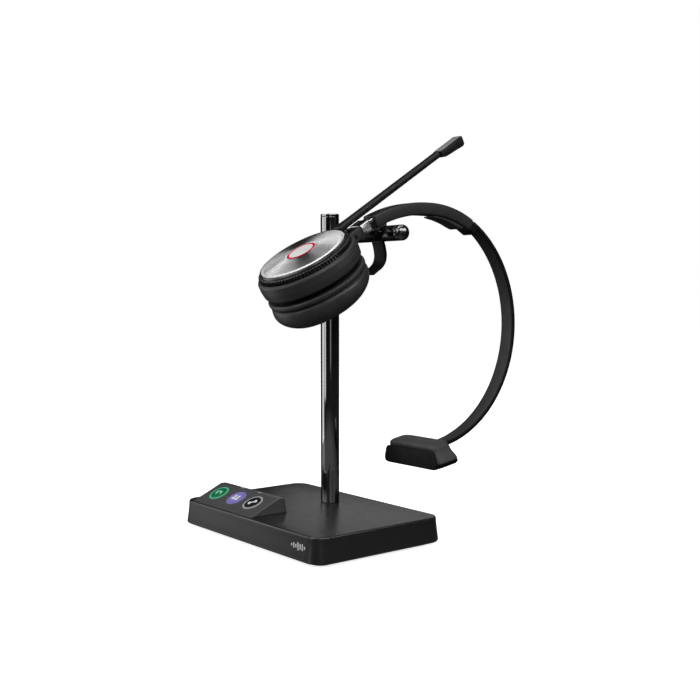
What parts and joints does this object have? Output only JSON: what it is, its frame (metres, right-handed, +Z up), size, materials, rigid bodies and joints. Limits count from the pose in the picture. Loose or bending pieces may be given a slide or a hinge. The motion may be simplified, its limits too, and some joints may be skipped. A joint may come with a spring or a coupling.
{
  "type": "office headset",
  "caption": "Mono on-ear wireless headset hanging on a charging stand: weighted base with raised key panel, round post and peg, sprung head band, T-bar and turning microphone boom.",
  "frame": {"origin": "centre of the stand's footprint on the desk, on the underside of the anti-slip mat", "axes": "+X right along the long front edge, -Y to the front where the key panel slopes down, +Z up along the post"},
  "size_m": [0.1546, 0.2025, 0.2604],
  "materials": {
    "satin_plastic": "satin",
    "soft_plastic": "matte",
    "gloss_plastic": "gloss",
    "gloss_metal": "gloss",
    "leatherette": "fine grain",
    "anti_slip_rubber": "matte",
    "spun_metal": "spun",
    "steel": "plain",
    "contact_gold": "polished",
    "circuit_board": "solder mask",
    "battery_wrap": "wrap",
    "red_light": "translucent",
    "green_light": "translucent",
    "violet_light": "translucent",
    "white_light": "translucent",
    "key_plastic": "satin"
  },
  "bodies": {
    "stand": {"base_housing": "satin_plastic", "base_bottom_cover": "soft_plastic", "ballast_plate": "steel", "base_circuit_board": "circuit_board", "anti_slip_mat": "anti_slip_rubber", "base_screw_1": "steel", "base_screw_2": "steel", "base_screw_3": "steel", "base_screw_4": "steel", "loudspeaker": "soft_plastic", "usb_inlet_computer": "steel", "usb_inlet_desk_phone": "steel", "control_panel": "satin_plastic", "panel_circuit_board": "circuit_board", "left_key_light_ring": "green_light", "middle_key_light_ring": "violet_light", "right_key_light_ring": "white_light", "post_tube": "gloss_metal", "post_cap": "gloss_plastic", "post_washer": "steel", "post_bolt": "steel", "hanger_peg": "gloss_metal", "peg_end_cap": "gloss_plastic", "peg_nut": "steel", "charging_cradle": "soft_plastic", "charging_pin_1": "contact_gold", "charging_pin_2": "contact_gold"},
    "left_key": {"left_key": "key_plastic"},
    "middle_key": {"middle_key": "violet_light"},
    "right_key": {"right_key": "key_plastic"},
    "headband": {"headband_shell": "soft_plastic", "headband_pad": "leatherette", "headband_strap": "soft_plastic", "headband_contact_block": "soft_plastic"},
    "tbar": {"tbar_housing": "soft_plastic", "tbar_pad": "leatherette", "tbar_hinge_pin": "steel"},
    "slider": {"slider_bar": "spun_metal", "swivel_pin": "steel"},
    "knuckle": {"knuckle": "soft_plastic", "tilt_pin": "steel"},
    "earcup": {"earcup_housing": "soft_plastic", "earcup_bezel": "gloss_plastic", "disc_cover": "spun_metal", "status_light_ring": "red_light", "earcup_back_plate": "soft_plastic", "earcup_screw_1": "steel", "earcup_screw_2": "steel", "speaker_driver": "steel", "earcup_circuit_board": "circuit_board", "battery": "battery_wrap", "cushion_mount_ring": "soft_plastic", "ear_cushion": "leatherette"},
    "call_button": {"call_button": "spun_metal"},
    "volume_rocker": {"volume_rocker": "soft_plastic"},
    "boom": {"boom_ring": "soft_plastic", "boom_arm": "soft_plastic", "mic_housing": "soft_plastic", "mic_capsule": "steel"}
  },
  "joints": [
    {"name": "headset_lift", "type": "slide", "parent": "stand", "child": "headband", "axis": [0, 0, 1], "range_m": [0, 0.17]},
    {"name": "left_key_press", "type": "slide", "parent": "stand", "child": "left_key", "axis": [0, 0.4162, -0.9093], "range_m": [0, 0.0008], "stiffness_N_per_m": 300, "springref_m": -0.002},
    {"name": "middle_key_press", "type": "slide", "parent": "stand", "child": "middle_key", "axis": [0, 0.4162, -0.9093], "range_m": [0, 0.0008], "stiffness_N_per_m": 300, "springref_m": -0.002},
    {"name": "right_key_press", "type": "slide", "parent": "stand", "child": "right_key", "axis": [0, 0.4162, -0.9093], "range_m": [0, 0.0008], "stiffness_N_per_m": 300, "springref_m": -0.002},
    {"name": "tbar_tilt", "type": "hinge", "parent": "headband", "child": "tbar", "pos_m": [0.046, 0.0662, 0.0566], "axis": [1, 0, 0], "range_deg": [-12, 12]},
    {"name": "headband_slider", "type": "hinge", "parent": "headband", "child": "slider", "pos_m": [0.046, 0.059, 0.1093], "axis": [1, 0, 0], "range_deg": [0, 12]},
    {"name": "earcup_swivel", "type": "hinge", "parent": "slider", "child": "knuckle", "pos_m": [0.046, 0.0017, 0.19315], "axis": [0, 0.8462, 0.5329], "range_deg": [-15, 15]},
    {"name": "earcup_tilt", "type": "hinge", "parent": "knuckle", "child": "earcup", "pos_m": [0.046, -0.00152, 0.19112], "axis": [1, 0, 0], "range_deg": [-3, 5]},
    {"name": "boom_turn", "type": "hinge", "parent": "earcup", "child": "boom", "pos_m": [0.046, -0.03567, 0.17741], "axis": [0, 0.5329, -0.8462], "range_deg": [0, 290]},
    {"name": "call_button_press", "type": "slide", "parent": "earcup", "child": "call_button", "axis": [0, 0.5329, -0.8462], "range_m": [0, 0.0006], "stiffness_N_per_m": 400, "springref_m": -0.001},
    {"name": "volume_rock", "type": "hinge", "parent": "earcup", "child": "volume_rocker", "pos_m": [0.0154, -0.03231, 0.17208], "axis": [0, -0.5329, 0.8462], "range_deg": [-3, 3], "stiffness_Nm_per_rad": 0.05}
  ]
}
